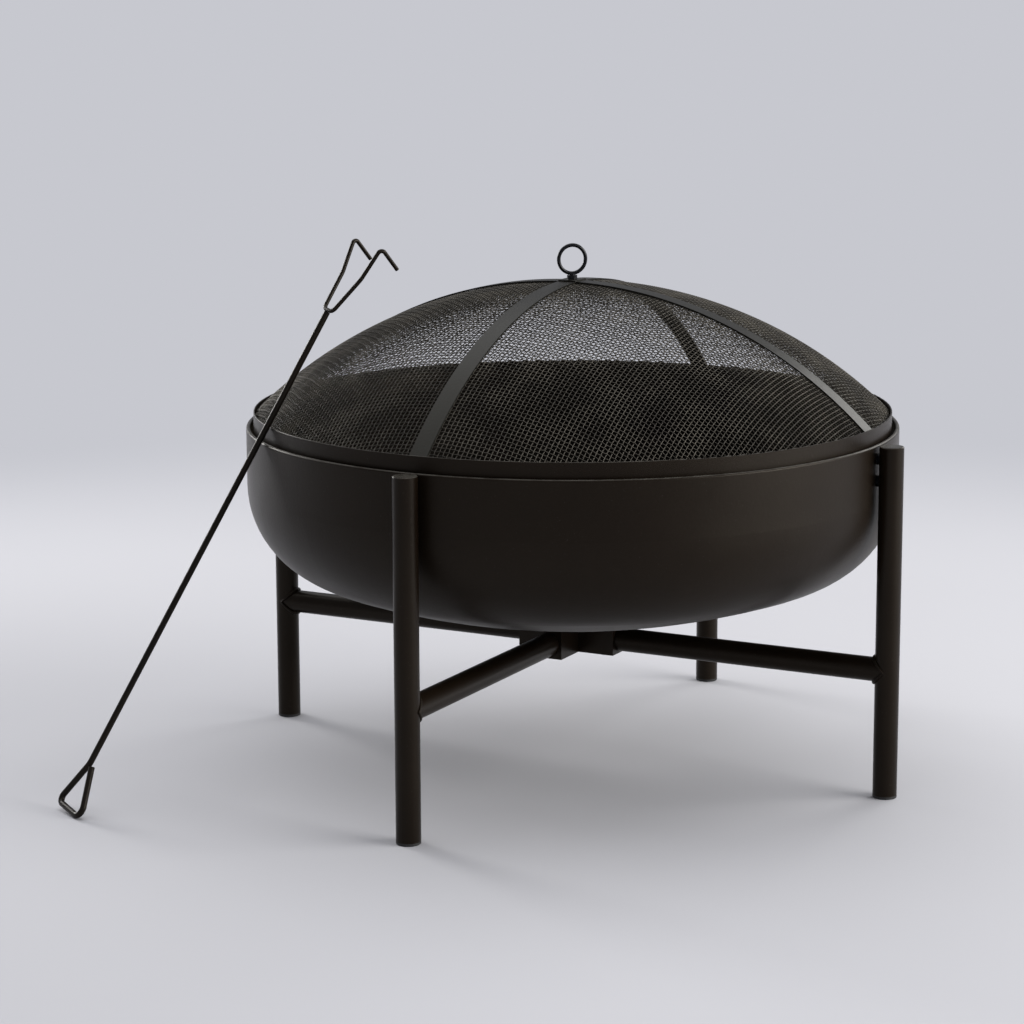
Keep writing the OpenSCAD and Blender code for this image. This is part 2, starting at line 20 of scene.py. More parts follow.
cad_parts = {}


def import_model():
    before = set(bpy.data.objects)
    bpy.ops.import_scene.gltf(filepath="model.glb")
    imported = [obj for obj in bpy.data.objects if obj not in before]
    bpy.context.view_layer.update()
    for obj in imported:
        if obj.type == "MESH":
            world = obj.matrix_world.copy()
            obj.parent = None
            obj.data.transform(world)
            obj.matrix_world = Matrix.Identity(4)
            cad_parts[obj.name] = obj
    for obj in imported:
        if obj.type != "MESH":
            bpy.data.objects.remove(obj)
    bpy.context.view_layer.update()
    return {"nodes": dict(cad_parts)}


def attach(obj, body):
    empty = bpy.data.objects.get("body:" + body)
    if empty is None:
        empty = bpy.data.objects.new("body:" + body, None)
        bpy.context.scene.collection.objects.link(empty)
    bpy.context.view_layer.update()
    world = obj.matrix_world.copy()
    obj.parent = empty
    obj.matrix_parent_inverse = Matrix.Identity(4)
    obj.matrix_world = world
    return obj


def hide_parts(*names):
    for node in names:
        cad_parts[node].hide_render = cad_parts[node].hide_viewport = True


LOG = logging.getLogger("fire_pit")
MM = 0.001
TINY = 1e-9
RIM_Z = 372 * MM
BAND_TOP_Z = 388 * MM
Colour = tuple[float, float, float]
Point = tuple[float, float, float]


class Body(Enum):
    """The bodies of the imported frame."""

    STAND = "stand"
    SCREEN = "screen"
    GRATE = "grate"
    POKER = "poker"


class Axis(Enum):
    """The axes of a place."""

    X = "X"
    Y = "Y"
    Z = "Z"


class Family(Enum):
    """The two directions in which the wires of a woven sheet run."""

    WARP = "warp"
    WEFT = "weft"


def rgba(value: Any) -> Any:
    """Gives a plain colour its alpha, and leaves a wire or a number as it is."""
    return (*value, 1.0) if isinstance(value, tuple) and len(value) == 3 else value


# ---------------------------------------------------------------- nodes


@dataclass(frozen=True)
class Wire:
    """A value that runs from one node of a finish to the next, which can be reckoned with."""

    graph: Graph
    socket: bpy.types.NodeSocket

    def __add__(self, other: Wire | float) -> Wire:
        """Adds two values."""
        return self.graph.math("ADD", self, other)

    def __radd__(self, other: float) -> Wire:
        """Adds the value to a number."""
        return self.graph.math("ADD", other, self)

    def __sub__(self, other: Wire | float) -> Wire:
        """Takes one value from another."""
        return self.graph.math("SUBTRACT", self, other)

    def __rsub__(self, other: float) -> Wire:
        """Takes the value from a number."""
        return self.graph.math("SUBTRACT", other, self)

    def __mul__(self, other: Wire | float) -> Wire:
        """Multiplies two values."""
        return self.graph.math("MULTIPLY", self, other)

    def __rmul__(self, other: float) -> Wire:
        """Multiplies a number by the value."""
        return self.graph.math("MULTIPLY", other, self)

    def power(self, other: float) -> Wire:
        """Raises the value to a power."""
        return self.graph.math("POWER", self, other)

    def clamped(self) -> Wire:
        """Keeps the value between 0 and 1."""
        return self.graph.math("ADD", self, 0.0, clamp=True)

    def toward(self, other: Wire, share: Wire) -> Wire:
        """Goes to another value as a share goes from 0 to 1."""
        return self + (other - self) * share

    def span(
        self, low: float, high: float, to_low: float = 0.0, to_high: float = 1.0
    ) -> Wire:
        """Maps a span of the value to another span, smoothly and clamped.

        Args:
            low: The value that gives to_low.
            high: The value that gives to_high.
            to_low: The result at low.
            to_high: The result at high.

        Returns:
            The mapped value.
        """
        node = self.graph.node(
            "ShaderNodeMapRange",
            {0: self, 1: low, 2: high, 3: to_low, 4: to_high},
            interpolation_type="SMOOTHSTEP",
        )
        return Wire(self.graph, node.outputs[0])


class Graph:
    """The node tree of one finish."""

    def __init__(self, name: str) -> None:
        """Makes an empty material.

        Args:
            name: The finish's name.
        """
        self.material = bpy.data.materials.new(name)
        self.material.use_nodes = True
        self.tree = self.material.node_tree
        self.tree.nodes.clear()
        self.at = Wire(self, self.node("ShaderNodeTexCoord").outputs["Object"])

    def node(
        self, kind: str, inputs: dict[str | int, Any] | None = None, **settings: Any
    ) -> bpy.types.Node:
        """Adds a node, with its settings and inputs.

        Args:
            kind: Blender's name of the node's type.
            inputs: A wire or a constant for each input, by name or place.
            **settings: The node's own properties.

        Returns:
            The node.
        """
        made = self.tree.nodes.new(kind)
        for key, value in settings.items():
            setattr(made, key, value)
        for key, value in (inputs or {}).items():
            if isinstance(value, Wire):
                self.tree.links.new(value.socket, made.inputs[key])
            else:
                made.inputs[key].default_value = value
        return made

    def math(self, operation: str, a: Any, b: Any = 0.0, clamp: bool = False) -> Wire:
        """Adds a Math node.

        Args:
            operation: The Math node's operation.
            a: The first value.
            b: The second value.
            clamp: True to keep the result between 0 and 1.

        Returns:
            The result.
        """
        node = self.node("ShaderNodeMath", {0: a, 1: b}, operation=operation, use_clamp=clamp)
        return Wire(self, node.outputs[0])

    def noise(
        self, scale: float, detail: float = 3.0, rough: float = 0.55, at: Wire | None = None
    ) -> Wire:
        """Adds a noise of features about 1/scale metres wide.

        Args:
            scale: Features to a metre.
            detail: Octaves.
            rough: How strong the finer octaves are.
            at: Where it is read, or None for Object coordinates.

        Returns:
            The noise, about 0 to 1.
        """
        node = self.node(
            "ShaderNodeTexNoise",
            {"Vector": at or self.at, "Scale": scale, "Detail": detail, "Roughness": rough},
        )
        return Wire(self, node.outputs[0])

    def stretched(self, scales: Point) -> Wire:
        """Scales the Object coordinates, each by its own factor."""
        node = self.node("ShaderNodeMapping", {"Vector": self.at, "Scale": scales})
        return Wire(self, node.outputs[0])

    def part(self, axis: Axis) -> Wire:
        """Takes one of the Object coordinates."""
        node = self.node("ShaderNodeSeparateXYZ", {0: self.at})
        return Wire(self, node.outputs[axis.value])

    def radius(self) -> Wire:
        """Works out the distance from the upright axis."""
        x, y = self.part(Axis.X), self.part(Axis.Y)
        return (x * x + y * y).power(0.5)

    def mix(self, a: Wire | Colour, b: Wire | Colour, share: Wire | float) -> Wire:
        """Mixes two colours.

        Args:
            a: The colour at share 0.
            b: The colour at share 1.
            share: How much of b.

        Returns:
            The mixed colour.
        """
        # Inputs 6 and 7 and output 2 are the ones that a mix of colours uses.
        node = self.node("ShaderNodeMix", {0: share, 6: rgba(a), 7: rgba(b)}, data_type="RGBA")
        return Wire(self, node.outputs[2])

    def bump(self, height: Wire, depth: float, after: Wire | None = None) -> Wire:
        """Turns a height into a normal.

        Args:
            height: The height, from 0 to 1.
            depth: The height of 1, in metres.
            after: A normal to add to.

        Returns:
            The normal.
        """
        inputs: dict[str | int, Any] = {"Height": height, "Distance": depth, "Strength": 1.0}
        if after:
            inputs["Normal"] = after
        return Wire(self, self.node("ShaderNodeBump", inputs).outputs[0])

    def shader(self, **sockets: Any) -> Wire:
        """Adds a Principled shader.

        Args:
            **sockets: A wire or a constant for each socket, with _ for a blank in its name.

        Returns:
            The shader.
        """
        inputs = {key.replace("_", " "): rgba(value) for key, value in sockets.items()}
        return Wire(self, self.node("ShaderNodeBsdfPrincipled", inputs).outputs[0])

    def ended(self, shader: Wire) -> bpy.types.Material:
        """Ends the tree in a shader, and gives the finished material."""
        self.node("ShaderNodeOutputMaterial", {"Surface": shader})
        return self.material

    def surface(self, **sockets: Any) -> bpy.types.Material:
        """Ends the tree in a Principled shader.

        Args:
            **sockets: A wire or a constant for each socket, with _ for a blank in its name.

        Returns:
            The finished material.
        """
        return self.ended(self.shader(**sockets))

    def backdrop(self, lit: Wire, plain: Colour, share: Wire) -> bpy.types.Material:
        """Ends the tree in a shader that the camera sees fade to a plain, unlit colour.

        Args:
            lit: The shader that the lamps light.
            plain: The plain colour.
            share: How much of the plain colour the camera sees.

        Returns:
            The finished material.
        """
        glow = self.node("ShaderNodeEmission", {"Color": rgba(plain), "Strength": 1.0})
        unlit = Wire(self, glow.outputs[0])
        seen = Wire(self, self.node("ShaderNodeLightPath").outputs["Is Camera Ray"])
        both = self.node("ShaderNodeMixShader", {0: seen * share, 1: lit, 2: unlit})
        return self.ended(Wire(self, both.outputs[0]))


# ---------------------------------------------------------------- finishes
#
# A scale is the number of features to a metre. Depths, widths and heights are in metres, and a z
# is a height above the ground.


@dataclass(frozen=True)
class Finish(ABC):
    """A finish, which is made into a material of the same name."""

    name: str

    @abstractmethod
    def build(self) -> bpy.types.Material:
        """Makes the material."""


@dataclass(frozen=True)
class PowderCoat(Finish):
    """Matt powder coat on steel: a finely pebbled skin, faintly uneven in colour and gloss."""

    colour: Colour = (0.0048, 0.0025, 0.0012)
    pale: Colour = (0.0092, 0.0060, 0.0036)
    gloss: float = 0.37
    sheen: float = 0.17
    tint: Colour = (1.0, 0.91, 0.78)
    gloss_dip: float = 0.035
    gloss_rise: float = 0.045
    cloud_scale: float = 7.0
    cloud_share: float = 0.6
    grain: float = 1500.0
    grain_rough: float = 0.05
    depth: float = 0.035 * MM
    peel_times_wider: float = 5.0
    peel_times_deeper: float = 2.2
    dust: float = 0.10
    dust_scale: float = 420.0
    dust_colour: Colour = (0.16, 0.155, 0.15)
    # Along the top edge, up to edge_h below edge_z, a patchy lighter grey is rubbed wear and a
    # painted highlight.
    edge_z: float = 0.0
    edge_h: float = 0.8 * MM
    rub_scale: float = 55.0
    rub_and_highlight_colour: Colour = (0.062, 0.058, 0.050)
    rub_shine: float = 0.10

    def skin(self, g: Graph) -> tuple[Wire, Wire, Wire]:
        """Lays the coat.

        Args:
            g: The finish's nodes.

        Returns:
            Its colour, its roughness and its normal.
        """
        cloud = g.noise(self.cloud_scale, 4.0)
        speck = g.noise(self.grain, 2.0, 0.6)
        orange_peel = g.noise(self.grain / self.peel_times_wider, 2.0, 0.5)
        clouds = cloud.span(0.3, 0.7) * self.cloud_share
        tone = (clouds + speck.span(0.35, 0.75) * (1 - self.cloud_share)).clamped()
        colour = g.mix(self.colour, self.pale, tone)
        lint = g.noise(self.dust_scale, 2.0, 0.7).span(0.66, 0.78) * self.dust
        colour = g.mix(colour, self.dust_colour, lint)
        glossy, dull = self.gloss - self.gloss_dip, self.gloss + self.gloss_rise
        rough = cloud.span(0.25, 0.75, glossy, dull) + speck * self.grain_rough
        # Rubbed wear and painted highlight: a patchy lighter grey along the top edge, a little
        # less rough there.
        if self.edge_z:
            rub_and_highlight = g.part(Axis.Z).span(self.edge_z - self.edge_h, self.edge_z)
            patchy = g.noise(self.rub_scale, 4.0, 0.65).span(0.30, 0.62, 0.15, 0.85)
            rub_and_highlight = (rub_and_highlight * patchy).clamped()
            colour = g.mix(colour, self.rub_and_highlight_colour, rub_and_highlight)
            rough = (rough - rub_and_highlight * self.rub_shine).clamped()
        fine = g.bump(speck, self.depth)
        return colour, rough, g.bump(orange_peel, self.depth * self.peel_times_deeper, fine)

    def coated(
        self, g: Graph, colour: Wire, rough: Wire, normal: Wire
    ) -> bpy.types.Material:
        """Ends the tree in the coat's shader.

        Args:
            g: The finish's nodes.
            colour: The coat's colour.
            rough: The coat's roughness.
            normal: The coat's normal.

        Returns:
            The material.
        """
        return g.surface(
            Base_Color=colour,
            Roughness=rough,
            Metallic=0.0,
            Specular_IOR_Level=self.sheen,
            Specular_Tint=self.tint,
            Normal=normal,
        )

    def build(self) -> bpy.types.Material:
        """Makes the material."""
        g = Graph(self.name)
        return self.coated(g, *self.skin(g))


@dataclass(frozen=True)
class BowlCoat(PowderCoat):
    """The bowl's coat: smooth outside, inside sooted with painted shade, with ash that greys the
    bottom.
    """

    bowl_r: float = 350 * MM
    bowl_t: float = 2 * MM
    corner_r: float = 105 * MM
    corner_z: float = 309.7 * MM
    crown_r: float = 814 * MM
    crown_z: float = 975 * MM
    crown_edge: float = 281.3 * MM
    line_scale: float = 9.0
    flake_scale: float = 160.0
    # Soot with painted shade darkens the inner face below this height.
    soot_and_shade_z: float = 362 * MM
    soot_and_shade_fade: float = 6 * MM
    soot_and_shade_waver: float = 20 * MM
    soot_rough: float = 0.45
    soot_depth: float = 0.18 * MM
    # The soot colours are made darker than soot alone, as painted shade of the bowl's inside.
    soot_and_shade_dark: Colour = (0.0022, 0.0016, 0.0012)
    soot_and_shade_pale: Colour = (0.0070, 0.0048, 0.0034)
    ash_full_z: float = 168 * MM
    ash_end_z: float = 215 * MM
    ash_patchiness: float = 0.9
    ash_cover: float = 0.7
    ash_rough: float = 0.1
    ash_dark: Colour = (0.026, 0.023, 0.020)
    ash_pale: Colour = (0.100, 0.093, 0.084)

    def inside(self, r: Wire, z: Wire) -> Wire:
        """Tells the inner face of the sheet from the outer one.

        Args:
            r: Distance from the axis.
            z: Height.

        Returns:
            1 on the inner face and 0 on the outer one.
        """
        half, soft = self.bowl_t / 2, self.bowl_t / 6

        def within(distance: Wire, radius: float) -> Wire:
            """Gives 1 below the middle of a sheet of a given outer radius."""
            return distance.span(radius - half - soft, radius - half + soft, 1.0, 0.0)

        wall = within(r, self.bowl_r)
        corner_x = r - (self.bowl_r - self.corner_r)
        corner_y = z - self.corner_z
        corner = within((corner_x * corner_x + corner_y * corner_y).power(0.5), self.corner_r)
        crown_y = z - self.crown_z
        crown = within((r * r + crown_y * crown_y).power(0.5), self.crown_r)
        low = crown.toward(corner, r.span(self.crown_edge - soft, self.crown_edge + soft))
        return low.toward(wall, z.span(self.corner_z - soft, self.corner_z + soft))

    def build(self) -> bpy.types.Material:
        """Makes the material.

        Returns:
            The material.
        """
        g = Graph(self.name)
        colour, rough, normal = self.skin(g)
        r, z = g.radius(), g.part(Axis.Z)
        line = g.noise(self.line_scale, 5.0, 0.62) - 0.5
        inside = self.inside(r, z)
        height = z + line * self.soot_and_shade_waver
        # Soot on the inner face below the rim, its darkness partly painted shade.
        soot_and_shade = inside * height.span(self.soot_and_shade_z - self.soot_and_shade_fade, self.soot_and_shade_z, 1.0, 0.0)
        low = z.span(self.ash_full_z, self.ash_end_z, 1.0, 0.0)
        ash = (low + line * self.ash_patchiness).clamped() * inside
        flakes = g.noise(self.flake_scale, 4.0, 0.65)
        grey = g.mix(self.ash_dark, self.ash_pale, flakes.span(0.4, 0.72))
        soot_and_shade_tone = g.mix(self.soot_and_shade_dark, self.soot_and_shade_pale, flakes.span(0.35, 0.7))
        colour = g.mix(colour, soot_and_shade_tone, soot_and_shade)
        colour = g.mix(colour, grey, ash * self.ash_cover)
        rough = (rough + soot_and_shade * self.soot_rough + ash * self.ash_rough).clamped()
        return self.coated(g, colour, rough, g.bump(flakes * soot_and_shade, self.soot_depth, normal))


@dataclass(frozen=True)
class WireCoat(Finish):
    """Thin black coat on drawn wire, rubbed to a grey sheen in patches."""

    colour: Colour = (0.030, 0.026, 0.020)
    worn: Colour = (0.125, 0.112, 0.089)
    patch_scale: float = 26.0
    patch_share: float = 0.45
    rub_scale: float = 900.0
    rub_share: float = 0.4
    rub_depth: float = 0.04 * MM

    def build(self) -> bpy.types.Material:
        """Makes the material.

        Returns:
            The material.
        """
        g = Graph(self.name)
        patch = g.noise(self.patch_scale, 3.0)
        rub = g.noise(self.rub_scale, 2.0, 0.6)
        patches = patch.span(0.35, 0.7) * self.patch_share
        wear = (patches + rub.span(0.5, 0.8) * self.rub_share).clamped()
        colour = g.mix(self.colour, self.worn, wear)
        rough = rub.span(0.2, 0.8, 0.42, 0.6)
        return g.surface(
            Base_Color=colour,
            Roughness=rough,
            Metallic=0.35,
            Specular_IOR_Level=0.3,
            Normal=g.bump(rub, self.rub_depth),
        )


@dataclass(frozen=True)
class Plated(Finish):
    """Zinc plate that has aged: a grey metal with fine turning marks and dull spots."""

    colour: Colour = (0.30, 0.30, 0.30)
    dull: Colour = (0.06, 0.06, 0.06)
    spot_scale: float = 380.0
    spot_cover: float = 0.7
    mark_scale: float = 60.0
    mark_stretch: Point = (1.0, 1.0, 60.0)
    mark_depth: float = 0.03 * MM

    def build(self) -> bpy.types.Material:
        """Makes the material.

        Returns:
            The material.
        """
        g = Graph(self.name)
        spots = g.noise(self.spot_scale, 3.0, 0.6)
        marks = g.noise(self.mark_scale, 2.0, 0.5, g.stretched(self.mark_stretch))
        return g.surface(
            Base_Color=g.mix(self.colour, self.dull, spots.span(0.45, 0.8) * self.spot_cover),
            Roughness=spots.span(0.3, 0.8, 0.24, 0.46),
            Metallic=1.0,
            Normal=g.bump(marks, self.mark_depth),
        )


@dataclass(frozen=True)
class BlackOxide(Finish):
    """Black oxide and oil on a small steel part: blue-black, with a wet shine."""

    colour: Colour = (0.0022, 0.0025, 0.0042)
    worn: Colour = (0.010, 0.010, 0.013)
    wear_scale: float = 240.0
    wear_cover: float = 0.6
    fine_scale: float = 2600.0
    fine_rough: float = 0.04
    fine_depth: float = 0.01 * MM

    def build(self) -> bpy.types.Material:
        """Makes the material.

        Returns:
            The material.
        """
        g = Graph(self.name)
        wear = g.noise(self.wear_scale, 4.0, 0.6)
        fine = g.noise(self.fine_scale, 2.0, 0.5)
        return g.surface(
            Base_Color=g.mix(self.colour, self.worn, wear.span(0.55, 0.8) * self.wear_cover),
            Roughness=wear.span(0.3, 0.75, 0.16, 0.28) + fine * self.fine_rough,
            Metallic=0.2,
            Specular_IOR_Level=0.25,
            Normal=g.bump(fine, self.fine_depth),
        )


@dataclass(frozen=True)
class Moulded(Finish):
    """Moulded black plastic, scuffed grey where it meets the ground."""

    colour: Colour = (0.011, 0.011, 0.011)
    scuffed: Colour = (0.09, 0.088, 0.084)
    scuff_scale: float = 300.0
    scuff_depth: float = 0.06 * MM
    scuff_h: float = 2.5 * MM

    def build(self) -> bpy.types.Material:
        """Makes the material.

        Returns:
            The material.
        """
        g = Graph(self.name)
        scuff = g.noise(self.scuff_scale, 4.0, 0.7)
        low = g.part(Axis.Z).span(0.0, self.scuff_h, 1.0, 0.0)
        return g.surface(
            Base_Color=g.mix(self.colour, self.scuffed, scuff.span(0.5, 0.75) * low),
            Roughness=scuff.span(0.2, 0.8, 0.5, 0.68),
            Metallic=0.0,
            Normal=g.bump(scuff, self.scuff_depth),
        )


@dataclass(frozen=True)
class FiredIron(Finish):
    """Bare steel bar that has stood in the fire: scaled, brown-grey and dull."""

    scaled: Colour = (0.022, 0.019, 0.017)
    rusted: Colour = (0.085, 0.055, 0.038)
    ashen: Colour = (0.14, 0.135, 0.13)
    flake_scale: float = 85.0
    flake_depth: float = 0.3 * MM
    pit_scale: float = 700.0
    pit_depth: float = 0.12 * MM
    ash_scale: float = 36.0
    ash_cover: float = 0.6

    def build(self) -> bpy.types.Material:
        """Makes the material.

        Returns:
            The material.
        """
        g = Graph(self.name)
        flakes = g.noise(self.flake_scale, 5.0, 0.65)
        pits = g.noise(self.pit_scale, 3.0, 0.6)
        ash = g.noise(self.ash_scale, 4.0, 0.7).span(0.58, 0.75) * self.ash_cover
        iron = g.mix(self.scaled, self.rusted, flakes.span(0.45, 0.72))
        return g.surface(
            Base_Color=g.mix(iron, self.ashen, ash),
            Roughness=flakes.span(0.3, 0.7, 0.6, 0.85),
            Metallic=0.3,
            Normal=g.bump(pits, self.pit_depth, g.bump(flakes, self.flake_depth)),
        )


# ---------------------------------------------------------------- shapes


def linked(name: str, data: bpy.types.ID) -> bpy.types.Object:
    """Puts an object of a mesh, a lamp or a camera into the scene.

    Args:
        name: The object's name.
        data: Its mesh, lamp or camera.

    Returns:
        The object.
    """
    made = bpy.data.objects.new(name, data)
    bpy.context.scene.collection.objects.link(made)
    return made


def finished(
    name: str,
    mesh: bmesh.types.BMesh,
    material: bpy.types.Material,
    body: Body,
    nodes: Sequence[str] = (),
) -> bpy.types.Object:
    """Turns a bmesh into a piece that rides on a body.

    Args:
        name: The piece's name.
        mesh: The shape, in the row frame. Its faces are turned outwards, and it is freed.
        material: The piece's finish.
        body: The body that carries it.
        nodes: The nodes that it replaces.

    Returns:
        The piece.
    """
    bmesh.ops.recalc_face_normals(mesh, faces=mesh.faces[:])
    for face in mesh.faces:
        face.smooth = True
    data = bpy.data.meshes.new(name)
    mesh.to_mesh(data)
    mesh.free()
    return placed(name, data, material, body, nodes)


def placed(
    name: str,
    data: bpy.types.Mesh,
    material: bpy.types.Material,
    body: Body,
    nodes: Sequence[str] = (),
) -> bpy.types.Object:
    """Puts a mesh into the scene as a piece that rides on a body.

    Args:
        name: The piece's name.
        data: The mesh, in the row frame.
        material: The piece's finish.
        body: The body that carries it.
        nodes: The nodes that it replaces.

    Returns:
        The piece.
    """
    data.materials.clear()
    data.materials.append(material)
    piece = linked(name, data)
    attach(piece, body.value)
    if nodes:
        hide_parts(*nodes)
    LOG.info("%s: %d faces on %s", name, len(data.polygons), body.value)
    return piece


def wires(
    name: str,
    paths: Sequence[Sequence[Vector]],
    radius: float,
    sides: int,
    closed: bool = False,
    swell: Sequence[float] = (),
) -> bpy.types.Mesh:
    """Sweeps a round wire along each path.

    Args:
        name: The mesh's name.
        paths: The centre lines.
        radius: The wire's radius.
        sides: 4, 6, 8 and so on.
        closed: True if each path is a loop.
        swell: How much thicker or thinner the wire is at each point, or nothing for an even wire.

    Returns:
        The mesh of all the wires.
    """
    curve = bpy.data.curves.new(name, "CURVE")
    curve.dimensions = "3D"
    curve.bevel_depth = radius
    curve.bevel_resolution = (sides - 4) // 2
    curve.use_fill_caps = not closed
    curve.resolution_u = 1
    for path in paths:
        spline = curve.splines.new("POLY")
        spline.points.add(len(path) - 1)
        for point, place in zip(spline.points, path):
            point.co = (*place, 1.0)
        for point, scale in zip(spline.points, swell):
            point.radius = scale
        spline.use_cyclic_u = closed
        spline.use_smooth = True
    holder = bpy.data.objects.new(name, curve)
    data = bpy.data.meshes.new_from_object(holder)
    bpy.data.objects.remove(holder)
    bpy.data.curves.remove(curve)
    return data


# ---------------------------------------------------------------- sub-assemblies


@dataclass
class WovenDome:
    """The sheet of woven wire, pressed to a dome, with its edge turned down inside the band."""

    dome_r: float = 487 * MM
    dome_z: float = 35.07 * MM
    edge_r: float = 340.45 * MM
    wire_r: float = 0.45 * MM
    wire_sides: int = 6
    pitch: float = 4.9 * MM
    skirt: float = 13.5 * MM
    turn: float = math.radians(45.0)
    spare_rows: int = 3
    lowest_z: float = 0.2
    fewest_points: int = 3
    finish: Finish = WireCoat("mesh_wire")

    @property
    def mid_r(self) -> float:
        """Radius of the middle of the sheet."""
        return self.dome_r - 2 * self.wire_r

    @property
    def skirt_r(self) -> float:
        """Radius of the middle of the turned-down edge."""
        return self.edge_r - 2 * self.wire_r

    @property
    def edge_arc(self) -> float:
        """Length along the dome from its top to the turned-down edge."""
        return self.mid_r * math.asin(self.skirt_r / self.mid_r)

    @property
    def end_arc(self) -> float:
        """Length along the sheet from its top to its end."""
        return self.edge_arc + self.skirt

    def quadrant(self) -> list[list[Vector]]:
        """Lays the crossings of a quarter of the sheet.

        Each crossing mirrors the one diagonally before it, so that all four sides of every
        mesh keep the same length, as a woven sheet does when it is pressed to a dome. Where that
        fails, far below the sheet's end, a crossing just repeats the one before it.

        Returns:
            Rows of unit directions from the dome's centre.
        """
        step = self.pitch / self.mid_r
        count = int(self.end_arc / self.pitch) + self.spare_rows
        grid = [[Vector((0, 0, 1))] * count for _ in range(count)]
        for i in range(count):
            lean = i * step
            grid[i][0] = Vector((math.sin(lean), 0, math.cos(lean)))
            grid[0][i] = Vector((0, math.sin(lean), math.cos(lean)))
        for i in range(1, count):
            for j in range(1, count):
                back = grid[i - 1][j - 1]
                normal = grid[i - 1][j].cross(grid[i][j - 1])
                if normal.length < TINY or back.z < self.lowest_z:
                    grid[i][j] = back.copy()
                    continue
                normal.normalize()
                grid[i][j] = back - 2 * back.dot(normal) * normal
        return grid

    def spot(self, way: Vector, lift: float) -> tuple[Vector, float]:
        """Places a direction on the sheet, or on its turned-down edge.

        Args:
            way: The unit direction from the dome's centre.
            lift: The height above the middle of the sheet.

        Returns:
            The place, and the length along the sheet from the top.
        """
        arc = math.acos(max(-1.0, min(1.0, way.z))) * self.mid_r
        if arc <= self.edge_arc:
            return Vector((0, 0, self.dome_z)) + way * (self.mid_r + lift), arc
        flat = Vector((way.x, way.y, 0)).normalized()
        edge_z = self.dome_z + self.mid_r * math.cos(self.edge_arc / self.mid_r)
        drop = Vector((0, 0, edge_z - (arc - self.edge_arc)))
        return flat * (self.skirt_r + lift) + drop, arc

    def crossing(self, quarter: list[list[Vector]], i: int, j: int) -> Vector:
        """Gives the direction of any crossing, from the quarter of the sheet that was laid.

        Args:
            quarter: The quarter that was laid.
            i: The crossing's row, below 0 on the other side of the top.
            j: The crossing's place in its row, below 0 on the other side of the top.

        Returns:
            The unit direction from the dome's centre.
        """
        laid = quarter[abs(i)][abs(j)]
        x = math.copysign(laid.x, i) if i else laid.x
        y = math.copysign(laid.y, j) if j else laid.y
        return Matrix.Rotation(self.turn, 3, "Z") @ Vector((x, y, laid.z))

    def strand(self, quarter: list[list[Vector]], family: Family, row: int) -> list[Vector]:
        """Gives the centre line of one wire, crimped over and under the wires that it crosses.

        Args:
            quarter: The quarter of the sheet that was laid.
            family: The wire's direction.
            row: The wire's row, which counts from the top both ways.

        Returns:
            The points of the line, which is cut where the sheet ends.
        """
        line: list[Vector] = []
        before: Vector | None = None
        before_arc = 0.0
        shift = 0 if family is Family.WARP else 1
        for k in range(-len(quarter) + 1, len(quarter)):
            i, j = (k, row) if family is Family.WARP else (row, k)
            over = 1.0 if (i + j + shift) % 2 else -1.0
            place, arc = self.spot(self.crossing(quarter, i, j), over * self.wire_r)
            inside = arc <= self.end_arc
            if before is not None and inside != (before_arc <= self.end_arc):
                share = (self.end_arc - before_arc) / (arc - before_arc)
                line.append(before.lerp(place, share))
            if inside:
                line.append(place)
            before, before_arc = place, arc
        return line

    def build(self) -> None:
        """Makes the woven sheet, in two halves of each direction."""
        material = self.finish.build()
        quarter = self.quadrant()
        rows = range(-len(quarter) + 1, len(quarter))
        replaced: tuple[str, ...] = ("spark_mesh",)
        for family in Family:
            lines = [self.strand(quarter, family, row) for row in rows]
            lines = [line for line in lines if len(line) >= self.fewest_points]
            middle = len(lines) // 2
            for side, share in (("a", lines[:middle]), ("b", lines[middle:])):
                name = f"mesh_{family.value}_{side}"
                data = wires(name, share, self.wire_r, self.wire_sides)
                piece = placed(name, data, material, Body.SCREEN, replaced)
                replaced = ()


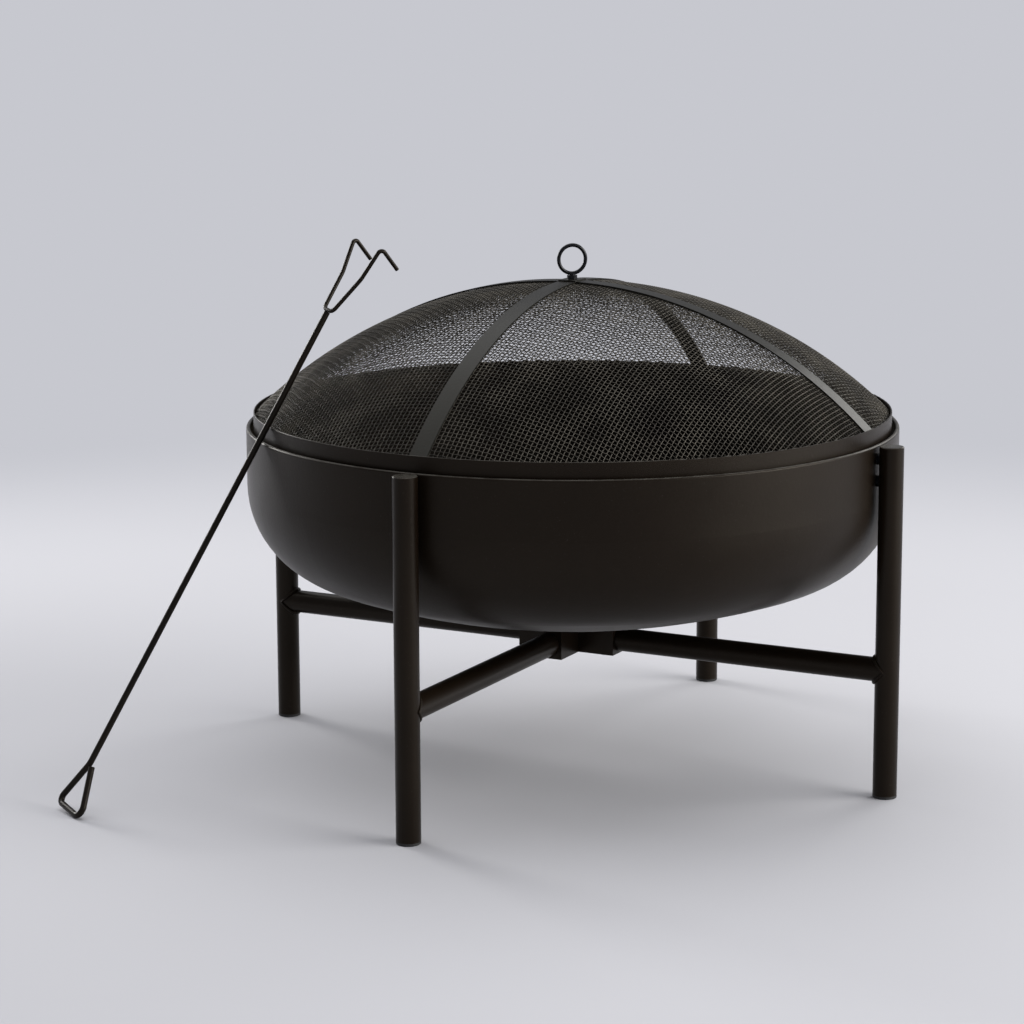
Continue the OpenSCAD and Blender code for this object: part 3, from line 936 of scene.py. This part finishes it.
@dataclass
class WeldBeads:
    """The beads that run round the end of each arm where it meets its leg."""

    leg_r: float = 365 * MM
    tube_r: float = 12.7 * MM
    arm_z: float = 136 * MM
    arm_turns: tuple[float, ...] = (45.0, 135.0, 225.0, 315.0)
    bead_r: float = 2.5 * MM
    bead_sides: int = 10
    proud_share: float = 0.30
    side_share: float = 0.42
    ripples: int = 34
    ripple_share: float = 0.07
    drift_waves: int = 5
    drift_start: float = 1.0
    drift_share: float = 0.03
    points: int = 204
    finish: Finish = PowderCoat("weld_coat", grain=1700.0, gloss=0.42)

    def path(self, turn: float) -> list[Vector]:
        """Gives the centre line of the bead of one arm.

        Args:
            turn: The arm's direction, in radians.

        Returns:
            A closed row of points.
        """
        spin = Matrix.Rotation(turn, 3, "Z")
        line = []
        for k in range(self.points):
            a = 2 * math.pi * k / self.points
            side, up = math.sin(a), math.cos(a)
            flank = abs(up)
            out = Vector((-flank, 2 * side, up)).normalized() * self.bead_r * self.proud_share
            reach = self.leg_r - self.tube_r * flank
            seam = Vector((reach, self.tube_r * side, self.arm_z + self.tube_r * up))
            line.append(spin @ (seam + out))
        return line

    def swell(self) -> list[float]:
        """Gives the bead's thickness along it: full above and below the arm, rippled all round.

        Returns:
            The share of the full thickness at each point.
        """
        sizes = []
        for k in range(self.points):
            a = 2 * math.pi * k / self.points
            base = self.side_share + (1 - self.side_share) * math.cos(a) ** 2
            ripple = self.ripple_share * abs(math.sin(self.ripples * a / 2))
            drift = self.drift_share * math.sin(self.drift_waves * a + self.drift_start)
            sizes.append(base * (1 + ripple + drift))
        return sizes

    def build(self) -> None:
        """Makes the four beads, as one piece."""
        swell = self.swell()
        whole = bmesh.new()
        for turn in self.arm_turns:
            path = self.path(math.radians(turn))
            data = wires("arm_beads", [path], self.bead_r, self.bead_sides, True, swell)
            whole.from_mesh(data)
            bpy.data.meshes.remove(data)
        piece = finished("arm_beads", whole, self.finish.build(), Body.STAND, ("arm_welds",))


@dataclass(frozen=True)
class Dressing:
    """A finish, and the nodes that wear it in their own shape."""

    finish: Finish
    nodes: tuple[str, ...]


@dataclass
class Dresser:
    """Gives the pieces that keep their own shape their finishes."""

    nodes: dict[str, bpy.types.Object]
    dressings: tuple[Dressing, ...] = (
        Dressing(BowlCoat("bowl_coat", edge_z=RIM_Z, edge_h=1.3 * MM), ("bowl",)),
        Dressing(
            PowderCoat("rest_coat", colour=(0.0042, 0.0036, 0.0030), gloss=0.62),
            ("screen_rests",),
        ),
        Dressing(
            PowderCoat("tube_coat", grain=1700.0, gloss=0.30, edge_z=RIM_Z),
            (
                "leg_front_left", "leg_front_right", "leg_back_right", "leg_back_left",
                "leg_caps", "arm_front_left", "arm_front_right", "arm_back_right",
                "arm_back_left", "hub_socket",
            ),
        ),
        Dressing(
            PowderCoat("band_coat", edge_z=BAND_TOP_Z), ("screen_band", "mesh_retainer")
        ),
        Dressing(
            PowderCoat(
                "strap_coat",
                colour=(0.0048, 0.0042, 0.0028),
                pale=(0.0090, 0.0083, 0.0062),
                gloss=0.34,
                sheen=0.19,
                tint=(1.0, 0.98, 0.88),
            ),
            ("strap_lower", "strap_upper"),
        ),
        Dressing(
            PowderCoat("poker_coat", colour=(0.0050, 0.0046, 0.0044), gloss=0.31),
            ("poker_rod", "poker_fork"),
        ),
        Dressing(
            Plated("bright_zinc"),
            ("hub_screws", "hub_inserts", "leg_inserts", "under_washer", "lock_nut"),
        ),
        Dressing(
            BlackOxide("black_oxide"),
            ("leg_screws", "leg_spacers", "ring_handle", "collar_nut"),
        ),
        Dressing(Moulded("glide_plastic"), ("foot_glides",)),
        Dressing(
            FiredIron("fired_iron"),
            ("grate_ring", "grate_bars", "grate_cross_bars", "grate_feet"),
        ),
    )

    def build(self) -> None:
        """Puts each finish on its nodes."""
        for dressing in self.dressings:
            material = dressing.finish.build()
            for node in dressing.nodes:
                slots = self.nodes[node].data.materials
                slots.clear()
                slots.append(material)
                LOG.info("%s: %s", node, dressing.finish.name)


# ---------------------------------------------------------------- studio


def facing(way: Vector) -> Euler:
    """Gives the turn of a lamp that shines along a direction."""
    return way.to_track_quat("-Z", "Y").to_euler()


@dataclass(frozen=True)
class Lamp:
    """A soft lamp that the camera doesn't see. Its size is in metres and its power in watts."""

    name: str
    place: Point
    size: tuple[float, float]
    power: float
    colour: Colour
    target: Point = (0.0, 0.0, 0.2)
    spread: float = math.radians(180.0)

    def build(self) -> None:
        """Hangs the lamp, turned to its target."""
        light = bpy.data.lights.new(self.name, "AREA")
        light.shape = "RECTANGLE"
        light.size, light.size_y = self.size
        light.energy = self.power
        light.color = self.colour
        light.spread = self.spread
        lamp = linked(self.name, light)
        lamp.location = self.place
        lamp.rotation_euler = facing(Vector(self.target) - Vector(self.place))
        lamp.visible_camera = False


@dataclass(frozen=True)
class Studio:
    """The floor, the lamps and the camera."""

    floor_r: float = 45.0
    floor_sides: int = 96
    floor_rough: float = 0.85
    near_colour: Colour = (0.50, 0.50, 0.53)
    far_colour: Colour = (0.70, 0.70, 0.74)
    pale_from: float = 0.8
    pale_to: float = 4.5
    cloud_colour: Colour = (0.44, 0.44, 0.47)
    cloud_scale: float = 1.3
    cloudiness: float = 0.12
    background: Colour = (0.571, 0.578, 0.624)
    plain_from: float = 1.0
    plain_to: float = 2.2
    sky_colour: Colour = (0.86, 0.88, 0.95)
    sky_power: float = 0.34
    overhead_power: float = 1.7
    overhead_angle: float = math.radians(75.0)
    overhead_way: Point = (-0.1, -0.28, -1.0)
    lamps: tuple[Lamp, ...] = (
        Lamp(
            "low", (-1.6, 2.9, 1.3), (1.1, 1.1), 20.0, (1.0, 0.985, 0.96),
            spread=math.radians(110.0),
        ),
        Lamp(
            "panel", (2.9, -2.0, 1.3), (3.0, 1.7), 43.0, (1.0, 0.985, 0.95),
            spread=math.radians(90.0),
        ),
        Lamp(
            "back", (2.9, 1.5, 1.7), (1.4, 1.3), 26.0, (1.0, 0.99, 0.96),
            target=(0.0, 0.0, 0.3),
        ),
    )
    lens: float = 104.55
    sensor: float = 36.0
    sight: float = 100.0
    camera_at: Point = (-1.0066, -2.9987, 0.9006)
    heading: float = math.radians(-17.376)
    pitch: float = math.radians(11.25)
    roll: float = math.radians(-0.214)

    def floor(self) -> None:
        """Lays the floor: one wide disc, which fades to the even background colour far away."""
        g = Graph("studio_floor")
        r = g.radius()
        far = r.span(self.pale_from, self.pale_to)
        cloud = g.noise(self.cloud_scale, 3.0).span(0.3, 0.7, 0.0, self.cloudiness) * (1 - far)
        bare = g.mix(self.near_colour, self.far_colour, far)
        colour = g.mix(bare, self.cloud_colour, cloud)
        lit = g.shader(Base_Color=colour, Roughness=self.floor_rough)
        material = g.backdrop(lit, self.background, r.span(self.plain_from, self.plain_to))
        mesh = bmesh.new()
        bmesh.ops.create_circle(
            mesh, cap_ends=True, radius=self.floor_r, segments=self.floor_sides
        )
        data = bpy.data.meshes.new("studio_floor")
        mesh.to_mesh(data)
        mesh.free()
        data.materials.append(material)
        floor = linked("studio_floor", data)

    def sky(self) -> None:
        """Lights everything evenly: a pale world, and a very broad soft light from above."""
        world = bpy.data.worlds.new("studio")
        world.use_nodes = True
        background = world.node_tree.nodes["Background"]
        background.inputs["Color"].default_value = rgba(self.sky_colour)
        background.inputs["Strength"].default_value = self.sky_power
        bpy.context.scene.world = world
        light = bpy.data.lights.new("overhead", "SUN")
        light.energy = self.overhead_power
        light.angle = self.overhead_angle
        linked("overhead", light).rotation_euler = facing(Vector(self.overhead_way))

    def camera(self) -> None:
        """Sets the camera."""
        data = bpy.data.cameras.new("camera")
        data.lens = self.lens
        data.sensor_width = self.sensor
        data.clip_end = self.sight
        camera = linked("camera", data)
        turn = (
            Matrix.Rotation(self.heading, 4, "Z")
            @ Matrix.Rotation(math.pi / 2 - self.pitch, 4, "X")
            @ Matrix.Rotation(self.roll, 4, "Z")
        )
        camera.matrix_world = Matrix.Translation(self.camera_at) @ turn
        bpy.context.scene.camera = camera

    def build(self) -> None:
        """Sets up the whole studio."""
        bpy.context.scene.view_settings.view_transform = "Standard"
        self.floor()
        self.sky()
        for lamp in self.lamps:
            lamp.build()
        self.camera()


def main() -> None:
    """Builds the dressed fire pit."""
    logging.basicConfig(level=logging.INFO, format="%(name)s: %(message)s")
    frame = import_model()
    Studio().build()
    Dresser(frame["nodes"]).build()
    WeldBeads().build()
    WovenDome().build()


if __name__ == "__main__":
    main()
